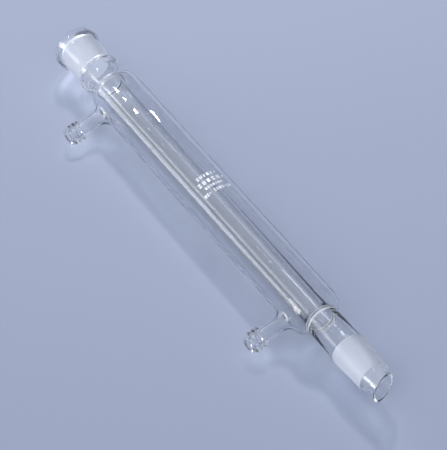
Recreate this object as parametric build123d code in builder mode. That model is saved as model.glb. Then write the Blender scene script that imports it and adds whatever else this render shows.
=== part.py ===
from build123d import *
import math
import os

# A jacketed glass condenser, blown as one piece and lying on its side.
# A straight inner tube runs inside a wider water shell, which is sealed to it at both ends.
# Above the shell is a ground socket with a rolled rim, below it a ground cone and a drip tip.
# Two arms on one side let cooling water in and out, and end in glass screw threads.
# Sizes are millimetres. The axis lies along X, and the origin is under the middle of the bounds.

# Ground joint: a standard taper, the same on the socket and the cone
JOINT_WIDE_DIAMETER = 18.8
JOINT_LENGTH = 22.0
JOINT_TAPER = 0.1

# Socket, from its rolled rim to the bulb at its foot
SOCKET_DIAMETER = 21.7
RIM_DIAMETER = 25.6
RIM_LENGTH = 4.6
RIM_RUN = 2.0
RIM_ROUND = 2.1
MOUTH_LEAD = 1.5
MOUTH_FLARE = 0.7
BULB_DIAMETER = 23.3
BULB_WALL = 1.7
BULB_LENGTH = 5.0
BULB_ROUND = 2.2
BULB_FOOT_STEP = 0.8
BULB_FLOOR = 1.4

# Water shell, measured from seal to seal
SHELL_DIAMETER = 27.0
SHELL_WALL = 1.4
SHELL_LENGTH = 197.4
UPPER_SHOULDER_RADIUS = 7.2
LOWER_SHOULDER_RADIUS = 10.0

# Tubes on the axis: the neck under the socket, the tail over the cone, and the inner tube
END_TUBE_DIAMETER = 17.4
END_TUBE_WALL = 1.4
NECK_LENGTH = 9.6
TAIL_LENGTH = 22.0
CONE_STEP = 1.0
INNER_TUBE_DIAMETER = 14.0
INNER_TUBE_WALL = 1.3
SEAL_RING_DIAMETER = 16.0
SEAL_FLARE = 4.0
SEAL_WIDTH = 0.5

# Drip tip, cut on the slant with its long side towards the arms
DRIP_DIAMETER = 14.6
DRIP_WALL = 1.2
DRIP_LENGTH = 7.0
DRIP_STEP = 2.2
DRIP_BORE_LEAD = 2.5
DRIP_CUT_ANGLE = 19.0
DRIP_POLISH = 0.3

# Side arms
UPPER_ARM_INSET = 14.0
LOWER_ARM_INSET = 11.8
ARM_DIAMETER = 7.8
ARM_BORE = 4.6
ARM_REACH = 36.0
ARM_FLARE = 5.0

# Screw threads on the arms
THREAD_CREST_DIAMETER = 10.8
THREAD_ROOT_DIAMETER = 9.0
THREAD_PITCH = 2.5
THREAD_TURNS = 3
THREAD_RIDGE_WIDTH = 2.0
THREAD_CREST_WIDTH = 0.7
THREAD_RUN_OUT = 1.0
THREAD_SINK = 0.4
COLLAR_STEP = 1.2
LIP_LENGTH = 1.6
LIP_CHAMFER = 0.6

# How far the curve of a rounded corner is pulled towards the corner, as a share: near a round arc
CORNER_FULLNESS = 0.55

# Radii that follow from the sizes above
socket_radius = SOCKET_DIAMETER / 2
rim_radius = RIM_DIAMETER / 2
bulb_radius = BULB_DIAMETER / 2
bulb_bore_radius = bulb_radius - BULB_WALL
shell_radius = SHELL_DIAMETER / 2
end_tube_radius = END_TUBE_DIAMETER / 2
end_bore_radius = end_tube_radius - END_TUBE_WALL
inner_tube_radius = INNER_TUBE_DIAMETER / 2
inner_bore_radius = inner_tube_radius - INNER_TUBE_WALL
seal_ring_radius = SEAL_RING_DIAMETER / 2
joint_wide_radius = JOINT_WIDE_DIAMETER / 2
joint_narrow_radius = joint_wide_radius - JOINT_TAPER * JOINT_LENGTH / 2
mouth_radius = joint_wide_radius + MOUTH_FLARE
drip_radius = DRIP_DIAMETER / 2
drip_bore_radius = drip_radius - DRIP_WALL
arm_radius = ARM_DIAMETER / 2
arm_bore_radius = ARM_BORE / 2
crest_radius = THREAD_CREST_DIAMETER / 2
root_radius = THREAD_ROOT_DIAMETER / 2

# Stations along the axis, from the face of the socket's mouth
ground_end = MOUTH_LEAD + JOINT_LENGTH
socket_end = ground_end + BULB_LENGTH
upper_seal = socket_end + NECK_LENGTH
lower_seal = upper_seal + SHELL_LENGTH
cone_start = lower_seal + TAIL_LENGTH
cone_end = cone_start + JOINT_LENGTH
drip_middle = cone_end + DRIP_LENGTH
drip_rise = drip_radius * math.tan(math.radians(DRIP_CUT_ANGLE))
drip_stock = drip_middle + 2 * drip_rise
upper_arm = upper_seal + UPPER_ARM_INSET
lower_arm = lower_seal - LOWER_ARM_INSET


def arc_run(radius, centre_height, height):
    """Run along the axis from an arc's centre to where the arc is at that height."""
    return math.sqrt(radius**2 - (height - centre_height) ** 2)


# The shell's shoulders are arcs that end where they meet the neck and the tail
upper_centre_height = shell_radius - UPPER_SHOULDER_RADIUS
lower_centre_height = shell_radius - LOWER_SHOULDER_RADIUS
upper_shoulder = upper_seal + arc_run(UPPER_SHOULDER_RADIUS, upper_centre_height, end_tube_radius)
lower_shoulder = lower_seal - arc_run(LOWER_SHOULDER_RADIUS, lower_centre_height, end_tube_radius)
upper_centre = (upper_shoulder, upper_centre_height)
lower_centre = (lower_shoulder, lower_centre_height)

# The water space ends at the seals, where the inner tube flares out to meet the shell's wall
upper_inner_arc = UPPER_SHOULDER_RADIUS - SHELL_WALL
lower_inner_arc = LOWER_SHOULDER_RADIUS - SHELL_WALL
upper_tip = upper_shoulder - arc_run(upper_inner_arc, upper_centre_height, seal_ring_radius)
lower_tip = lower_shoulder + arc_run(lower_inner_arc, lower_centre_height, seal_ring_radius)
upper_flare = upper_tip + SEAL_FLARE
lower_flare = lower_tip - SEAL_FLARE
flare_slope = (seal_ring_radius - inner_tube_radius) / SEAL_FLARE
bore_run = (end_bore_radius - inner_bore_radius) / flare_slope

# The arms droop until their outermost crests touch the plane that the shell lies on
thread_length = THREAD_PITCH * THREAD_TURNS
thread_end = ARM_REACH - LIP_LENGTH
thread_start = thread_end - thread_length
collar_start = thread_start - COLLAR_STEP
outer_crest = thread_end - THREAD_PITCH / 2 + THREAD_CREST_WIDTH / 2
crest_bearing = math.atan2(crest_radius, outer_crest)
droop = math.asin(shell_radius / math.hypot(outer_crest, crest_radius)) - crest_bearing
arm_direction = Vector(0, -math.cos(droop), -math.sin(droop))
arm_underside = Vector(0, math.sin(droop), -math.cos(droop))

# Where the mouth lies, so that the bounds are centred on the origin and rest on Z = 0
lip_face = ARM_REACH * math.cos(droop) + (root_radius - LIP_CHAMFER) * math.sin(droop)
lip_edge = (ARM_REACH - LIP_CHAMFER) * math.cos(droop) + root_radius * math.sin(droop)
arm_tip = max(lip_face, lip_edge)
drip_tilt = math.radians(DRIP_CUT_ANGLE)
drip_tip = drip_middle + drip_rise - DRIP_POLISH * math.sin(drip_tilt)
mouth = Vector(-drip_tip / 2, (arm_tip - shell_radius) / 2, shell_radius)
profile_plane = Plane(origin=mouth, x_dir=(1, 0, 0), z_dir=(0, -1, 0))
axis = Axis(mouth, (1, 0, 0))


def on_axis(station):
    """Point on the axis at a station."""
    return mouth + Vector(station, 0, 0)


def arm_plane(station, distance=0.0):
    """Plane across an arm, that far from the axis, with its normal pointing out along the arm."""
    origin = on_axis(station) + arm_direction * distance
    return Plane(origin=origin, x_dir=arm_underside, z_dir=arm_direction)


def rounded_corner(before, corner, after, size):
    """Smooth curve that turns a corner of a profile, starting and ending that far from it."""
    start = Vector(corner) + (Vector(before) - Vector(corner)).normalized() * size
    end = Vector(corner) + (Vector(after) - Vector(corner)).normalized() * size
    pull = (Vector(corner) - start) * CORNER_FULLNESS
    push = (Vector(corner) - end) * CORNER_FULLNESS
    return Bezier(start, start + pull, end + push, end)


def arm_roots(edges, station, radius):
    """Edges where an arm's tube of that radius meets the shell."""
    return [
        edge
        for edge in edges
        if edge.geom_type == GeomType.BSPLINE
        and abs(edge.center().X - on_axis(station).X) < radius
        and (edge.center() - on_axis(station)).dot(arm_direction) < shell_radius + SHELL_WALL
    ]


# An arm's threaded mouth, up its own axis: the swept ridge, turned down to nothing at both ends, on
# thicker stock with a chamfered lip
with BuildPart() as thread:
    with BuildLine() as course:
        Helix(
            pitch=THREAD_PITCH,
            height=thread_length + THREAD_PITCH,
            radius=root_radius,
            center=(0, 0, thread_start - THREAD_PITCH / 2),
        )
    with BuildSketch(Plane(origin=course.line @ 0, x_dir=(1, 0, 0), z_dir=course.line % 0)):
        with BuildLine():
            Polyline(
                (-THREAD_SINK, -THREAD_RIDGE_WIDTH / 2),
                (crest_radius - root_radius, -THREAD_CREST_WIDTH / 2),
                (crest_radius - root_radius, THREAD_CREST_WIDTH / 2),
                (-THREAD_SINK, THREAD_RIDGE_WIDTH / 2),
                close=True,
            )
        make_face()
    sweep(path=course.line, is_frenet=True)
    with BuildSketch(Plane.XZ):
        with BuildLine():
            Polyline(
                (0, thread_start),
                (root_radius - THREAD_SINK, thread_start),
                (crest_radius + THREAD_SINK, thread_start + THREAD_RUN_OUT),
                (crest_radius + THREAD_SINK, thread_end - THREAD_RUN_OUT),
                (root_radius - THREAD_SINK, thread_end),
                (0, thread_end),
                close=True,
            )
        make_face()
    revolve(axis=Axis.Z, mode=Mode.INTERSECT)
    with BuildSketch(Plane.XZ):
        with BuildLine():
            Polyline(
                (0, collar_start),
                (arm_radius, collar_start),
                (root_radius, thread_start),
                (root_radius, ARM_REACH - LIP_CHAMFER),
                (root_radius - LIP_CHAMFER, ARM_REACH),
                (0, ARM_REACH),
                close=True,
            )
        make_face()
    revolve(axis=Axis.Z)

# The water space between the inner tube and the shell, with the bores of both arms
with BuildPart() as water:
    with BuildSketch(profile_plane):
        with BuildLine():
            upper_sweep = math.degrees(math.asin((upper_shoulder - upper_tip) / upper_inner_arc))
            lower_sweep = math.degrees(math.asin((lower_tip - lower_shoulder) / lower_inner_arc))
            upper_arc = CenterArc(upper_centre, upper_inner_arc, 90, upper_sweep)
            lower_arc = CenterArc(lower_centre, lower_inner_arc, 90, -lower_sweep)
            Line(upper_arc @ 0, lower_arc @ 0)
            Polyline(
                lower_arc @ 1,
                (lower_tip, seal_ring_radius - SEAL_WIDTH),
                (lower_flare, inner_tube_radius),
                (upper_flare, inner_tube_radius),
                (upper_tip, seal_ring_radius - SEAL_WIDTH),
                upper_arc @ 1,
            )
        make_face()
    revolve(axis=axis)
    for station in (upper_arm, lower_arm):
        with BuildSketch(arm_plane(station, seal_ring_radius)):
            Circle(arm_bore_radius)
        extrude(amount=ARM_REACH - seal_ring_radius)
        fillet(arm_roots(water.edges(Select.LAST), station, arm_bore_radius), ARM_FLARE + SHELL_WALL)

# The bore on the axis, from the ground socket through the inner tube to the drip tip
with BuildPart() as bore:
    with BuildSketch(profile_plane):
        with BuildLine():
            Polyline(
                (0, 0),
                (0, mouth_radius),
                (MOUTH_LEAD, joint_wide_radius),
                (ground_end, joint_narrow_radius),
                (ground_end + bulb_bore_radius - joint_narrow_radius, bulb_bore_radius),
                (socket_end - BULB_FLOOR - BULB_FOOT_STEP, bulb_bore_radius),
                (socket_end - BULB_FLOOR, end_bore_radius),
                (upper_flare - bore_run, end_bore_radius),
                (upper_flare, inner_bore_radius),
                (lower_flare, inner_bore_radius),
                (lower_flare + bore_run, end_bore_radius),
                (cone_end - DRIP_BORE_LEAD, end_bore_radius),
                (cone_end + DRIP_STEP, drip_bore_radius),
                (drip_stock, drip_bore_radius),
                (drip_stock, 0),
                close=True,
            )
        make_face()
    revolve(axis=axis)

# The whole piece: turned tubes, shell and threaded arms, then the two spaces taken out of them
with BuildPart() as condenser:
    with BuildSketch(profile_plane):
        with BuildLine():
            rim_front = rounded_corner((0, 0), (0, rim_radius), (RIM_LENGTH, rim_radius), RIM_ROUND)
            crown = rounded_corner(
                (socket_end - BULB_LENGTH, bulb_radius),
                (socket_end, bulb_radius),
                (socket_end, end_tube_radius),
                BULB_ROUND,
            )
            Line((0, 0), rim_front @ 0)
            Polyline(
                rim_front @ 1,
                (RIM_LENGTH, rim_radius),
                (RIM_LENGTH + RIM_RUN, socket_radius),
                (socket_end - BULB_LENGTH, socket_radius),
                crown @ 0,
            )
            Polyline(
                crown @ 1,
                (socket_end, end_tube_radius),
                (cone_start - CONE_STEP, end_tube_radius),
                (cone_start, joint_wide_radius),
                (cone_end, joint_narrow_radius),
                (cone_end + DRIP_STEP, drip_radius),
                (drip_stock, drip_radius),
                (drip_stock, 0),
                (0, 0),
            )
        make_face()
    revolve(axis=axis)

    # The drip tip's slanting cut, with its outer edge taken off
    slant = Vector(1, 0, 0) - arm_direction * math.tan(drip_tilt)
    split(bisect_by=Plane(origin=on_axis(drip_middle), z_dir=slant), keep=Keep.BOTTOM)
    chamfer(condenser.edges().filter_by(GeomType.ELLIPSE), DRIP_POLISH)

    # The shell, with a shoulder arc at each end that meets the neck and the tail
    with BuildSketch(profile_plane):
        with BuildLine():
            upper_sweep = math.degrees(math.asin((upper_shoulder - upper_seal) / UPPER_SHOULDER_RADIUS))
            lower_sweep = math.degrees(math.asin((lower_seal - lower_shoulder) / LOWER_SHOULDER_RADIUS))
            upper_arc = CenterArc(upper_centre, UPPER_SHOULDER_RADIUS, 90, upper_sweep)
            lower_arc = CenterArc(lower_centre, LOWER_SHOULDER_RADIUS, 90, -lower_sweep)
            Line(upper_arc @ 0, lower_arc @ 0)
            Polyline(lower_arc @ 1, (lower_seal, 0), (upper_seal, 0), upper_arc @ 1)
        make_face()
    revolve(axis=axis)

    # The side arms, drawn out of the shell with a trumpet flare
    for station in (upper_arm, lower_arm):
        with BuildSketch(arm_plane(station)):
            Circle(arm_radius)
        extrude(amount=thread_start)
        fillet(arm_roots(condenser.edges(Select.LAST), station, arm_radius), ARM_FLARE)

    # The threaded mouths of the arms
    for station in (upper_arm, lower_arm):
        with Locations(arm_plane(station).location):
            add(thread.part)

    add(water.part, mode=Mode.SUBTRACT)
    add(bore.part, mode=Mode.SUBTRACT)

os.makedirs("parts", exist_ok=True)
condenser.part.label = "condenser"
export_step(condenser.part, "parts/condenser.step")
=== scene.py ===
"""A jacketed glass condenser lying on a pale bench, with ground joints and threaded water arms."""

import logging
import math
from dataclasses import dataclass
from enum import Enum

import bmesh
import bpy
from mathutils import Matrix, Vector


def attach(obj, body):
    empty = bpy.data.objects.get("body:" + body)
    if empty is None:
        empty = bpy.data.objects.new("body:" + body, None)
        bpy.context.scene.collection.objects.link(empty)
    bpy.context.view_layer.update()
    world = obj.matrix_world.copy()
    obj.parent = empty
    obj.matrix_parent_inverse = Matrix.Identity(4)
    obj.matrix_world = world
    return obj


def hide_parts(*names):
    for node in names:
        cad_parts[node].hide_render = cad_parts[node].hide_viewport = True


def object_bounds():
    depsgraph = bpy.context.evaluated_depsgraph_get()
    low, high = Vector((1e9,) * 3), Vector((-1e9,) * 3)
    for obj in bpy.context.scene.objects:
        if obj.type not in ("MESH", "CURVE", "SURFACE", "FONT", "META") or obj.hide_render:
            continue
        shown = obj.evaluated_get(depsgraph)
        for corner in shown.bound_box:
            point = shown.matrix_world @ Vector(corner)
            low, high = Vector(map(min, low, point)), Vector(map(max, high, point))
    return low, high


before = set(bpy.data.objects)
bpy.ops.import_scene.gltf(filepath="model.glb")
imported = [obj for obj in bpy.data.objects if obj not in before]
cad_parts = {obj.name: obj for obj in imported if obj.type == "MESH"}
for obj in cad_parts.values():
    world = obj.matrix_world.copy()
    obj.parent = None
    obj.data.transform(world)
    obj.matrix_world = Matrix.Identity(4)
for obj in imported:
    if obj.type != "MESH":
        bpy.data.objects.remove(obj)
CAD_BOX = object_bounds()

log = logging.getLogger("condenser")

MM = 0.001

Pair = tuple[float, float]
Triple = tuple[float, float, float]
Stops = tuple[tuple[float, Triple], ...]
Geometry = list[bmesh.types.BMVert | bmesh.types.BMEdge | bmesh.types.BMFace]


def stand(name: str, data: bpy.types.ID) -> bpy.types.Object:
    """Make an object and put it in the scene.

    Args:
        name: the object's name.
        data: its mesh, lamp or camera.

    Returns:
        The new object.
    """
    thing = bpy.data.objects.new(name, data)
    bpy.context.scene.collection.objects.link(thing)
    return thing


def settle(form: bmesh.types.BMesh, name: str) -> bpy.types.Mesh:
    """Turn a form that is done into a mesh.

    Args:
        form: the form, which is freed.
        name: the mesh's name.

    Returns:
        The new mesh.
    """
    mesh = bpy.data.meshes.new(name)
    form.to_mesh(mesh)
    form.free()
    return mesh


class Part(Enum):
    """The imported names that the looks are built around."""

    NODE = "condenser"
    BODY = "root"
    SLOT = "glass"


class Mark(Enum):
    """The simple printed shapes, each as strokes in shares of its own width and height."""

    SPACE = ()
    DOT = ((0.2, 0.8, 0.3, 0.7),)
    BLOCK = ((0.0, 1.0, 0.0, 1.0),)
    BAR = ((0.25, 0.75, 0.0, 1.0),)
    PAIR = ((0.0, 0.38, 0.0, 1.0), (0.62, 1.0, 0.0, 1.0))
    RAIL = ((0.0, 1.0, 0.0, 0.36), (0.0, 1.0, 0.64, 1.0))


@dataclass(frozen=True)
class Axis:
    """The condenser's own axis, which lies along X above the bench.

    Args:
        mouth_x: where the socket's mouth is along X, in metres.
        y: the axis's place across the bench, in metres.
        z: the axis's height above the bench, in metres.
    """

    mouth_x: float
    y: float
    z: float

    def at(self, station: float, radius: float = 0.0, bearing: float = 0.0) -> Vector:
        """Find a point by its station, radius and bearing.

        Args:
            station: distance from the socket's mouth along the axis, in mm.
            radius: distance from the axis, in mm.
            bearing: angle about the axis from +Y towards +Z, in degrees.

        Returns:
            The point in metres, in the row's frame.
        """
        turn = math.radians(bearing)
        return Vector(
            (
                self.mouth_x + station * MM,
                self.y + radius * MM * math.cos(turn),
                self.z + radius * MM * math.sin(turn),
            )
        )


class Tree:
    """A short way to write a node tree."""

    def __init__(self, owner: bpy.types.ID) -> None:
        """Empty the owner's node tree and keep it.

        Args:
            owner: the material or world whose nodes are written.
        """
        owner.use_nodes = True
        self.tree = owner.node_tree
        self.tree.nodes.clear()

    def add(self, kind: str, **values: object) -> bpy.types.Node:
        """Add a node and set its attributes.

        Args:
            kind: the node's type name.
            **values: attributes to set on it.

        Returns:
            The new node.
        """
        node = self.tree.nodes.new(kind)
        for name, value in values.items():
            setattr(node, name, value)
        return node

    def put(self, node: bpy.types.Node, **sockets: object) -> bpy.types.Node:
        """Set or link a node's inputs.

        Args:
            node: the node whose inputs are set.
            **sockets: input names with underscores for spaces, and a value or an output socket for each.

        Returns:
            The same node.
        """
        for name, value in sockets.items():
            self.feed(node.inputs[name.replace("_", " ")], value)
        return node

    def feed(self, target: bpy.types.NodeSocket, value: object) -> None:
        """Link an output socket to an input, or set the input to a plain value.

        Args:
            target: the input.
            value: the output socket or the plain value.
        """
        if isinstance(value, bpy.types.NodeSocket):
            self.tree.links.new(value, target)
        else:
            target.default_value = value

    def maths(self, operation: str, *terms: object, clamp: bool = False) -> bpy.types.NodeSocket:
        """Add a Math node.

        Args:
            operation: the Math node's operation.
            *terms: its inputs, as numbers or output sockets.
            clamp: whether the result is held between 0 and 1.

        Returns:
            The node's output.
        """
        node = self.add("ShaderNodeMath", operation=operation, use_clamp=clamp)
        for target, term in zip(node.inputs, terms):
            self.feed(target, term)
        return node.outputs[0]

    def between(self, value: object, low: float, high: float, soft: float) -> bpy.types.NodeSocket:
        """Make a mask that is 1 between two values.

        Args:
            value: the output socket that is measured.
            low: where the mask starts.
            high: where it ends.
            soft: the width of its edges.

        Returns:
            The mask's output socket.
        """
        rise = self.maths("DIVIDE", self.maths("SUBTRACT", value, low), soft, clamp=True)
        fall = self.maths("DIVIDE", self.maths("SUBTRACT", high, value), soft, clamp=True)
        return self.maths("MULTIPLY", rise, fall)

    def grain(self, place: object, scale: Triple, detail: float) -> bpy.types.NodeSocket:
        """Add noise that is stretched along some directions.

        Args:
            place: the output socket that holds the position.
            scale: how often it changes along X, Y and Z, in cycles a metre.
            detail: the noise's detail.

        Returns:
            The noise's factor.
        """
        stretch = self.put(self.add("ShaderNodeMapping"), Vector=place, Scale=scale)
        noise = self.add("ShaderNodeTexNoise")
        self.put(noise, Vector=stretch.outputs[0], Scale=1.0, Detail=detail)
        return noise.outputs["Fac"]

    def blend(self, share: object, first: bpy.types.Node, second: bpy.types.Node) -> bpy.types.Node:
        """Mix two shaders.

        Args:
            share: how much of the second one shows.
            first: the shader at 0.
            second: the shader at 1.

        Returns:
            The Mix Shader node.
        """
        mix = self.add("ShaderNodeMixShader")
        for target, value in zip(mix.inputs, (share, first.outputs[0], second.outputs[0])):
            self.feed(target, value)
        return mix

    def ramp(self, share: object, stops: Stops) -> bpy.types.NodeSocket:
        """Turn a share into a colour.

        Args:
            share: the output socket that is read, from 0 to 1.
            stops: places between 0 and 1, in order, each with its colour.

        Returns:
            The colour's output socket.
        """
        node = self.put(self.add("ShaderNodeValToRGB"), Fac=share)
        for stop, (place, colour) in zip(node.color_ramp.elements, (stops[0], stops[-1])):
            stop.position = place
            stop.color = (*colour, 1.0)
        for place, colour in stops[1:-1]:
            node.color_ramp.elements.new(place).color = (*colour, 1.0)
        return node.outputs[0]


@dataclass(frozen=True)
class Relief:
    """Fine unevenness of a surface, from stretched noise.

    Args:
        scale: how often it changes along X, Y and Z, in cycles a metre.
        detail: the noise's detail.
        strength: how much of it shows.
        depth: how deep it is, in metres.
    """

    scale: Triple
    detail: float
    strength: float
    depth: float

    def normal(self, tree: Tree, place: bpy.types.NodeSocket) -> bpy.types.NodeSocket:
        """Make the uneven surface's normal.

        Args:
            tree: the material's nodes.
            place: the position on the surface.

        Returns:
            The normal's output socket.
        """
        bump = tree.put(
            tree.add("ShaderNodeBump"),
            Height=tree.grain(place, self.scale, self.detail),
            Strength=self.strength,
            Distance=self.depth,
        )
        return bump.outputs["Normal"]


@dataclass(frozen=True)
class BlownGlass:
    """Clear drawn glass, with a matt white skin where the joints are ground, and the same skin as
    painted highlight rings at the seals.

    Args:
        axis: the condenser's axis.
        ior: the glass's index of refraction.
        socket: stations between which the socket's wall is ground, in mm.
        socket_radii: radii between which that wall lies, in mm.
        cone: stations between which the cone is ground, in mm.
        cone_radii: radii between which that wall lies, in mm.
        seals: stations between which each seal gets the matt skin as a painted highlight ring, in mm.
        seal_radii: radii between which that glass lies, in mm.
        corners: stations between which the bore's corner beside each seal gets the matt skin as a
            painted highlight over its dark ring, in mm.
        corner_radii: radii between which those corners lie, in mm.
        soft: the width of a zone's edge along the axis and across it, in mm.
        tint: the clear glass's colour.
        draw: the long waves that drawing leaves in the clear glass.
        frost: the colour of the ground glass, also used for the painted highlight rings.
        frost_roughness: the ground glass's roughness.
        frost_clearness: how much of the light the ground glass lets through.
        grit: the fine pits that grinding leaves.
        shade: the colour of light that has passed through the glass.
        shade_share: how much of a lamp's light passes, for the shadow on the bench.
    """

    axis: Axis
    ior: float = 1.474
    socket: Pair = (3.4, 23.4)
    socket_radii: Pair = (8.0, 9.8)
    cone: Pair = (257.6, 279.2)
    cone_radii: Pair = (7.8, 9.8)
    # The seals and the bore's corners beside them get the matt skin as painted highlight rings.
    seals: tuple[Pair, Pair] = ((38.9, 40.3), (233.3, 234.7))
    seal_radii: Pair = (7.2, 8.4)
    corners: tuple[Pair, Pair] = ((36.8, 38.4), (235.0, 236.8))
    corner_radii: Pair = (6.6, 7.6)
    soft: Pair = (0.3, 0.1)
    tint: Triple = (0.96, 0.968, 0.977)
    draw: Relief = Relief(scale=(30.0, 160.0, 160.0), detail=1.0, strength=0.02, depth=0.0004)
    frost: Triple = (0.62, 0.65, 0.72)
    frost_roughness: float = 0.5
    frost_clearness: float = 0.5
    grit: Relief = Relief(scale=(5200.0, 2400.0, 2400.0), detail=3.0, strength=0.3, depth=0.00015)
    shade: Triple = (0.86, 0.87, 0.88)
    shade_share: float = 0.85

    def ground(self, tree: Tree, place: bpy.types.NodeSocket) -> bpy.types.NodeSocket:
        """Make the mask of the ground walls and of the painted highlight rings at the seals.

        Args:
            tree: the material's nodes.
            place: the position on the glass.

        Returns:
            The mask's output socket.
        """
        split = tree.put(tree.add("ShaderNodeSeparateXYZ"), Vector=place)
        from_mouth = tree.maths("SUBTRACT", split.outputs["X"], self.axis.mouth_x)
        station = tree.maths("DIVIDE", from_mouth, MM)
        across = tree.maths("SUBTRACT", split.outputs["Y"], self.axis.y)
        above = tree.maths("SUBTRACT", split.outputs["Z"], self.axis.z)
        squares = tree.maths("ADD", tree.maths("POWER", across, 2.0), tree.maths("POWER", above, 2.0))
        radius = tree.maths("DIVIDE", tree.maths("SQRT", squares), MM)
        along, across_wall = self.soft
        walls = [
            tree.maths(
                "MULTIPLY",
                tree.between(station, *stations, along),
                tree.between(radius, *radii, across_wall),
            )
            for stations, radii in self.matt_zones()
        ]
        mask = walls[0]
        for wall in walls[1:]:
            mask = tree.maths("MAXIMUM", mask, wall)
        return mask

    def matt_zones(self) -> list[tuple[Pair, Pair]]:
        """List the ground walls and the painted highlight rings at the seals.

        Returns:
            The stations and the radii between which each wall lies, in mm.
        """
        joints = [(self.socket, self.socket_radii), (self.cone, self.cone_radii)]
        # The seals and the bore's corners beside them take the matt skin as painted highlight rings.
        seals = [(seal, self.seal_radii) for seal in self.seals]
        return joints + seals + [(corner, self.corner_radii) for corner in self.corners]

    def make(self) -> bpy.types.Material:
        """Build the material.

        Returns:
            The glass material.
        """
        material = bpy.data.materials.new("blown_glass")
        tree = Tree(material)
        place = tree.add("ShaderNodeTexCoord").outputs["Object"]
        clear = tree.put(
            tree.add("ShaderNodeBsdfPrincipled"),
            Base_Color=(*self.tint, 1.0),
            Roughness=0.0,
            IOR=self.ior,
            Transmission_Weight=1.0,
            Normal=self.draw.normal(tree, place),
        )
        frosted = tree.put(
            tree.add("ShaderNodeBsdfPrincipled"),
            Base_Color=(*self.frost, 1.0),
            Roughness=self.frost_roughness,
            IOR=self.ior,
            Transmission_Weight=self.frost_clearness,
            Normal=self.grit.normal(tree, place),
        )
        # The matt skin is the ground joints' own finish and, at the seals, painted highlight.
        surface = tree.blend(self.ground(tree, place), clear, frosted)
        passing = tree.put(tree.add("ShaderNodeBsdfTransparent"), Color=(*self.shade, 1.0))
        shadow_ray = tree.add("ShaderNodeLightPath").outputs["Is Shadow Ray"]
        lit = tree.blend(tree.maths("MULTIPLY", shadow_ray, self.shade_share), surface, passing)
        tree.put(tree.add("ShaderNodeOutputMaterial"), Surface=lit.outputs[0])
        return material


@dataclass(frozen=True)
class Run:
    """A straight run of a turned wall.

    Args:
        start: the station where it starts, in mm.
        end: the station where it ends, in mm.
        radius: its radius at the start, in mm.
        taper: how much its radius shrinks per mm of run.
    """

    start: float
    end: float
    radius: float
    taper: float = 0.0

    def radius_at(self, station: float) -> float:
        """Give the wall's radius at a station, in mm."""
        return self.radius - self.taper * (station - self.start)

    def holds(self, station: float, radius: float, sag: float) -> bool:
        """Tell whether a point at this station and radius, in mm, lies within a sag of the wall."""
        inside = self.start <= station <= self.end
        return inside and abs(radius - self.radius_at(station)) < sag


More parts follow.
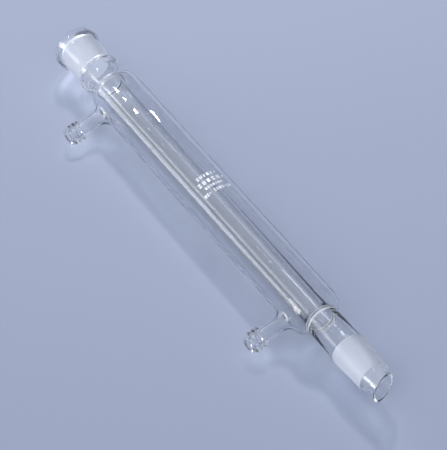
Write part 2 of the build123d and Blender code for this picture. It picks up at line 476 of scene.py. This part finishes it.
@dataclass
class GlassBody:
    """The blown body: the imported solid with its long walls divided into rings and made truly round.

    Args:
        axis: the condenser's axis.
        runs: its straight walls, outside, inside and in the water space.
        ring: the distance between two rings, in mm.
        sectors: the number of sectors that the walls are cut into.
        sag: how far a flat facet may lie inside its wall, in mm.
        crease: the angle above which an edge stays sharp, in degrees.
        weld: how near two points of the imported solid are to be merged, in mm.
        snap: how near a cut a point is to be taken as on it, in mm.
    """

    axis: Axis
    runs: tuple[Run, ...] = (
        Run(6.6, 23.5, 10.85),
        Run(28.5, 38.1, 8.7),
        Run(44.9, 226.9, 13.5),
        Run(235.5, 256.5, 8.7),
        Run(257.5, 279.5, 9.4, 0.05),
        Run(281.7, 284.0, 7.3),
        Run(1.5, 23.5, 9.4, 0.05),
        Run(27.1, 36.9, 7.3),
        Run(43.4, 230.2, 5.7),
        Run(236.7, 277.0, 7.3),
        Run(44.9, 226.9, 12.1),
        Run(43.4, 230.2, 7.0),
    )
    ring: float = 6.0
    sectors: int = 96
    sag: float = 0.06
    crease: float = 32.0
    weld: float = 0.0001
    snap: float = 0.001

    def walls(self, form: bmesh.types.BMesh) -> Geometry:
        """Collect the faces of the straight walls, with their edges and points.

        Args:
            form: the mesh.

        Returns:
            The points, then the edges, then the faces.
        """
        on_wall = {point: self.run_of(point.co)[0] for point in form.verts}
        faces = [
            face
            for face in form.faces
            if on_wall[face.verts[0]] and len({on_wall[point] for point in face.verts}) == 1
        ]
        edges = {edge for face in faces for edge in face.edges}
        points = {point for face in faces for point in face.verts}
        return [*points, *edges, *faces]

    def divide(self, form: bmesh.types.BMesh, length: float) -> None:
        """Cut the straight walls into rings and sectors.

        Args:
            form: the mesh.
            length: the condenser's length, in mm.
        """
        rings = range(1, int(length / self.ring))
        cuts = [(self.axis.at(index * self.ring), (1.0, 0.0, 0.0)) for index in rings]
        for index in range(self.sectors // 2):
            turn = 2 * math.pi * index / self.sectors
            cuts.append((self.axis.at(0.0), (0.0, math.cos(turn), math.sin(turn))))
        geometry = self.walls(form)
        for place, normal in cuts:
            cut = bmesh.ops.bisect_plane(
                form, geom=geometry, dist=self.snap * MM, plane_co=place, plane_no=normal
            )
            geometry = cut["geom"]

    def run_of(self, point: Vector) -> tuple[Run | None, Vector]:
        """Find the straight wall that a point is on.

        Args:
            point: the point, in metres.

        Returns:
            The wall, or None, and the point's arm from the axis, in metres.
        """
        station = (point.x - self.axis.mouth_x) / MM
        arm = Vector((0.0, point.y - self.axis.y, point.z - self.axis.z))
        radius = arm.length / MM
        return next((run for run in self.runs if run.holds(station, radius, self.sag)), None), arm

    def round_off(self, form: bmesh.types.BMesh) -> None:
        """Move each point of a straight wall out to the wall's true radius.

        Args:
            form: the mesh.
        """
        for point in form.verts:
            run, arm = self.run_of(point.co)
            if run:
                true = run.radius_at((point.co.x - self.axis.mouth_x) / MM) * MM
                point.co += arm.normalized() * (true - arm.length)

    def smooth(self, mesh: bpy.types.Mesh) -> None:
        """Give the straight walls the normals of true cylinders and cones, and keep the sharp edges.

        Args:
            mesh: the body's mesh.
        """
        mesh.set_sharp_from_angle(angle=math.radians(self.crease))
        normals = [Vector(corner.vector) for corner in mesh.corner_normals]
        for corner, loop in enumerate(mesh.loops):
            run, arm = self.run_of(mesh.vertices[loop.vertex_index].co)
            if run:
                true = (arm.normalized() + Vector((run.taper, 0.0, 0.0))).normalized()
                if abs(true.dot(normals[corner])) > math.cos(math.radians(self.crease)):
                    normals[corner] = true * math.copysign(1.0, true.dot(normals[corner]))
        mesh.normals_split_custom_set(normals)

    def build(self, finish: bpy.types.Material) -> bpy.types.Object:
        """Build the body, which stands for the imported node.

        Args:
            finish: the glass.

        Returns:
            The body's object.
        """
        form = bmesh.new()
        form.from_mesh(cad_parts[Part.NODE.value].data)
        bmesh.ops.remove_doubles(form, verts=form.verts, dist=self.weld * MM)
        self.divide(form, (CAD_BOX[1][0] - CAD_BOX[0][0]) / MM)
        self.round_off(form)
        mesh = settle(form, "condenser_glass")
        for name in ("custom_normal", "sharp_edge", "sharp_face"):
            if name in mesh.attributes:
                mesh.attributes.remove(mesh.attributes[name])
        self.smooth(mesh)
        mesh.materials.clear()
        mesh.materials.append(finish)
        body = stand("condenser_glass", mesh)
        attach(body, Part.BODY.value)
        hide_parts(Part.NODE.value)
        return body


@dataclass(frozen=True)
class Enamel:
    """Fired white enamel, a little worn.

    Args:
        speckle: how often it changes along X, Y and Z, in cycles a metre.
        detail: the speckle's detail.
        stops: the speckle's levels, each with the colour that it has there.
        smoothest: the roughness where the speckle is lowest.
        roughening: how much the speckle adds to that.
    """

    speckle: Triple = (2600.0, 2600.0, 2600.0)
    detail: float = 3.0
    stops: Stops = ((0.3, (0.86, 0.87, 0.89)), (0.55, (0.95, 0.95, 0.94)))
    smoothest: float = 0.3
    roughening: float = 0.3

    def make(self) -> bpy.types.Material:
        """Build the material.

        Returns:
            The enamel material.
        """
        material = bpy.data.materials.new("white_enamel")
        tree = Tree(material)
        place = tree.add("ShaderNodeTexCoord").outputs["Object"]
        speck = tree.grain(place, self.speckle, self.detail)
        shader = tree.put(
            tree.add("ShaderNodeBsdfPrincipled"),
            Base_Color=tree.ramp(speck, self.stops),
            Roughness=tree.maths("MULTIPLY_ADD", speck, self.roughening, self.smoothest),
        )
        tree.put(tree.add("ShaderNodeOutputMaterial"), Surface=shader.outputs[0])
        return material


@dataclass(frozen=True)
class Row:
    """One row of printed marks, which runs around the shell.

    Args:
        station: the row's middle along the axis, in mm.
        height: the row's height along the axis, in mm.
        bearings: the bearings between which it runs, in degrees.
        marks: its marks, in order.
        gap: the gap between two marks, as a share of a mark's width.
    """

    station: float
    height: float
    bearings: Pair
    marks: tuple[Mark, ...]
    gap: float


def printed(names: str) -> tuple[Mark, ...]:
    """Give the marks of a row from their names, in order."""
    return tuple(Mark[name] for name in names.split())


@dataclass
class EnamelMarks:
    """The white marks fired onto the shell.

    Args:
        axis: the condenser's axis.
        rows: the rows of marks.
        outer: the radius of the enamel's face, in mm.
        depth: how far it reaches into the glass, in mm.
        step: the widest bearing that one flat facet spans, in degrees.
    """

    axis: Axis
    rows: tuple[Row, ...] = (
        Row(132.9, 2.0, (70.0, 118.0), printed("DOT BAR BLOCK BAR PAIR RAIL"), 0.5),
        Row(136.9, 2.5, (60.0, 124.0), printed("DOT PAIR RAIL BLOCK PAIR RAIL"), 0.8),
        Row(140.6, 1.5, (74.0, 116.0), printed("PAIR BLOCK BAR BLOCK RAIL PAIR BLOCK"), 0.5),
        Row(
            144.3,
            2.0,
            (62.0, 128.0),
            printed("BLOCK BAR DOT PAIR BLOCK BAR RAIL SPACE DOT RAIL PAIR"),
            0.5,
        ),
    )
    outer: float = 13.504
    depth: float = 0.08
    step: float = 2.0

    def stroke(self, form: bmesh.types.BMesh, stations: Pair, bearings: Pair) -> None:
        """Build one stroke as a thin curved block.

        Args:
            form: the mesh that it is added to.
            stations: the stations between which it lies, in mm.
            bearings: the bearings between which it lies, in degrees.
        """
        low, high = stations
        start, end = bearings
        inner = self.outer - self.depth
        corners = ((low, self.outer), (high, self.outer), (high, inner), (low, inner))
        count = max(1, math.ceil(abs(end - start) / self.step))
        sections = []
        for index in range(count + 1):
            bearing = start + (end - start) * index / count
            places = [self.axis.at(station, radius, bearing) for station, radius in corners]
            sections.append([form.verts.new(place) for place in places])
        for near, far in zip(sections, sections[1:]):
            for side in range(len(corners)):
                following = (side + 1) % len(corners)
                form.faces.new((near[side], near[following], far[following], far[side]))
        form.faces.new(reversed(sections[0]))
        form.faces.new(sections[-1])

    def row(self, form: bmesh.types.BMesh, row: Row) -> None:
        """Build one row of marks.

        Args:
            form: the mesh that they are added to.
            row: the row.
        """
        start, end = row.bearings
        pitch = (end - start) / (len(row.marks) - row.gap / (1 + row.gap))
        width = pitch / (1 + row.gap)
        low = row.station - row.height / 2
        for index, mark in enumerate(row.marks):
            left = start + index * pitch
            for across_from, across_to, up_from, up_to in mark.value:
                self.stroke(
                    form,
                    (low + row.height * up_from, low + row.height * up_to),
                    (left + width * across_from, left + width * across_to),
                )

    def build(self, finish: bpy.types.Material) -> bpy.types.Object:
        """Build the marks and let them ride on the glass.

        Args:
            finish: the enamel.

        Returns:
            The marks' object.
        """
        form = bmesh.new()
        for row in self.rows:
            self.row(form, row)
        bmesh.ops.recalc_face_normals(form, faces=form.faces)
        mesh = settle(form, "enamel_marks")
        mesh.materials.append(finish)
        marks = stand("enamel_marks", mesh)
        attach(marks, Part.BODY.value)
        return marks


@dataclass(frozen=True)
class Lamp:
    """A flat soft lamp that faces a point on the bench, with its height square to the condenser.

    Args:
        name: the lamp's name.
        place: where it hangs, in metres.
        aim: the point that it faces, in metres.
        across: its width along the bench, in metres.
        up: its height, in metres.
        power: its power, in watts.
        flagged: whether a flag keeps its light off the floor, so that only the glassware takes it.
    """

    name: str
    place: Triple
    aim: Triple
    across: float
    up: float
    power: float
    flagged: bool = True

    def build(self, glassware: bpy.types.Collection) -> None:
        """Hang the lamp.

        Args:
            glassware: the objects that a flagged lamp lights.
        """
        data = bpy.data.lights.new(self.name, "AREA")
        data.shape = "RECTANGLE"
        data.size = self.across
        data.size_y = self.up
        data.energy = self.power
        lamp = stand(self.name, data)
        lamp.location = self.place
        back = (Vector(self.place) - Vector(self.aim)).normalized()
        up = back.cross(Vector((1.0, 0.0, 0.0))).normalized()
        lamp.rotation_euler = Matrix((up.cross(back), up, back)).transposed().to_euler()
        if self.flagged:
            lamp.light_linking.receiver_collection = glassware


@dataclass(frozen=True)
class Studio:
    """The pale floor, the room, the lamps and the camera.

    Args:
        floor_half: half the floor's width, in metres.
        floor_colour: the floor's colour.
        floor_roughness: the floor's roughness.
        room_stops: the room's colours from the side of the arms, at 0, to the other side, at 1.
        room_strength: the room's brightness.
        lamps: the lamps.
        eye: where the camera stands, in metres.
        eye_pitch: how far it is tipped up from looking straight down, in degrees.
        eye_turn: how far it is turned about the upright, in degrees.
        lens: its focal length, in mm.
        reach: how far it sees, in metres.
    """

    floor_half: float = 6.0
    floor_colour: Triple = (0.43, 0.475, 0.60)
    floor_roughness: float = 0.7
    room_stops: Stops = (
        (0.1, (0.96, 0.99, 1.06)),
        (0.45, (0.45, 0.49, 0.60)),
        (0.8, (0.16, 0.18, 0.24)),
    )
    room_strength: float = 1.15
    lamps: tuple[Lamp, ...] = (
        Lamp("key", (-1.02, 0.60, 0.95), (-0.05, 0.0, 0.0), 0.022, 0.06, 9.0, flagged=False),
        Lamp("fill", (-0.1, -1.3, 0.32), (0.0, 0.0, 0.0), 1.2, 0.5, 11.0),
        Lamp("band", (-0.98, -1.25, 0.22), (0.0, 0.0, 0.0), 1.0, 0.42, 3.5),
        Lamp("window_left", (-1.215, -0.42, 1.13), (-0.05, 0.0, 0.0), 0.010, 0.25, 0.3),
        Lamp("window_middle", (-1.185, -0.42, 1.13), (-0.05, 0.0, 0.0), 0.008, 0.16, 0.2),
        Lamp("window_right", (-1.145, -0.42, 1.13), (-0.05, 0.0, 0.0), 0.010, 0.20, 0.3),
    )
    eye: Triple = (0.75047, -0.46722, 0.9057)
    eye_pitch: float = 44.51
    eye_turn: float = 57.363
    lens: float = 201.36
    reach: float = 50.0

    def floor(self) -> None:
        """Lay the floor."""
        half = self.floor_half
        mesh = bpy.data.meshes.new("floor")
        corners = [(-half, -half, 0.0), (half, -half, 0.0), (half, half, 0.0), (-half, half, 0.0)]
        mesh.from_pydata(corners, [], [(0, 1, 2, 3)])
        floor = stand("floor", mesh)
        material = bpy.data.materials.new("pale_floor")
        tree = Tree(material)
        shader = tree.put(
            tree.add("ShaderNodeBsdfPrincipled"),
            Base_Color=(*self.floor_colour, 1.0),
            Roughness=self.floor_roughness,
        )
        tree.put(tree.add("ShaderNodeOutputMaterial"), Surface=shader.outputs[0])
        mesh.materials.append(material)

    def room(self) -> None:
        """Paint the room: bright on the side of the arms and darker on the other."""
        world = bpy.data.worlds.new("room")
        bpy.context.scene.world = world
        tree = Tree(world)
        place = tree.add("ShaderNodeTexCoord").outputs["Generated"]
        split = tree.put(tree.add("ShaderNodeSeparateXYZ"), Vector=place)
        # Y runs from -1 to 1 over the room, and the stops from 0 to 1.
        share = tree.maths("MULTIPLY_ADD", split.outputs["Y"], 0.5, 0.5)
        back = tree.put(
            tree.add("ShaderNodeBackground"),
            Color=tree.ramp(share, self.room_stops),
            Strength=self.room_strength,
        )
        tree.put(tree.add("ShaderNodeOutputWorld"), Surface=back.outputs[0])

    def camera(self) -> None:
        """Stand the camera."""
        data = bpy.data.cameras.new("camera")
        data.lens = self.lens
        data.clip_end = self.reach
        camera = stand("camera", data)
        camera.location = self.eye
        camera.rotation_euler = (math.radians(self.eye_pitch), 0.0, math.radians(self.eye_turn))
        bpy.context.scene.camera = camera

    def build(self, glassware: bpy.types.Collection) -> None:
        """Set the whole stage.

        Args:
            glassware: the objects that the flagged lamps light.
        """
        bpy.context.scene.view_settings.view_transform = "Standard"
        self.camera()
        self.floor()
        self.room()
        for lamp in self.lamps:
            lamp.build(glassware)


def main() -> None:
    """Build the condenser's looks and its stage."""
    logging.basicConfig(level=logging.INFO, format="%(name)s: %(message)s")
    glassware = bpy.data.collections.new("glassware")
    Studio().build(glassware)
    axis = Axis(mouth_x=-0.144458, y=0.011175, z=0.0135)
    glass = BlownGlass(axis).make()
    body = GlassBody(axis).build(glass)
    log.info("%s built with %d faces", body.name, len(body.data.polygons))
    marks = EnamelMarks(axis).build(Enamel().make())
    log.info("%s built with %d faces", marks.name, len(marks.data.polygons))
    for piece in (body, marks):
        glassware.objects.link(piece)


if __name__ == "__main__":
    main()
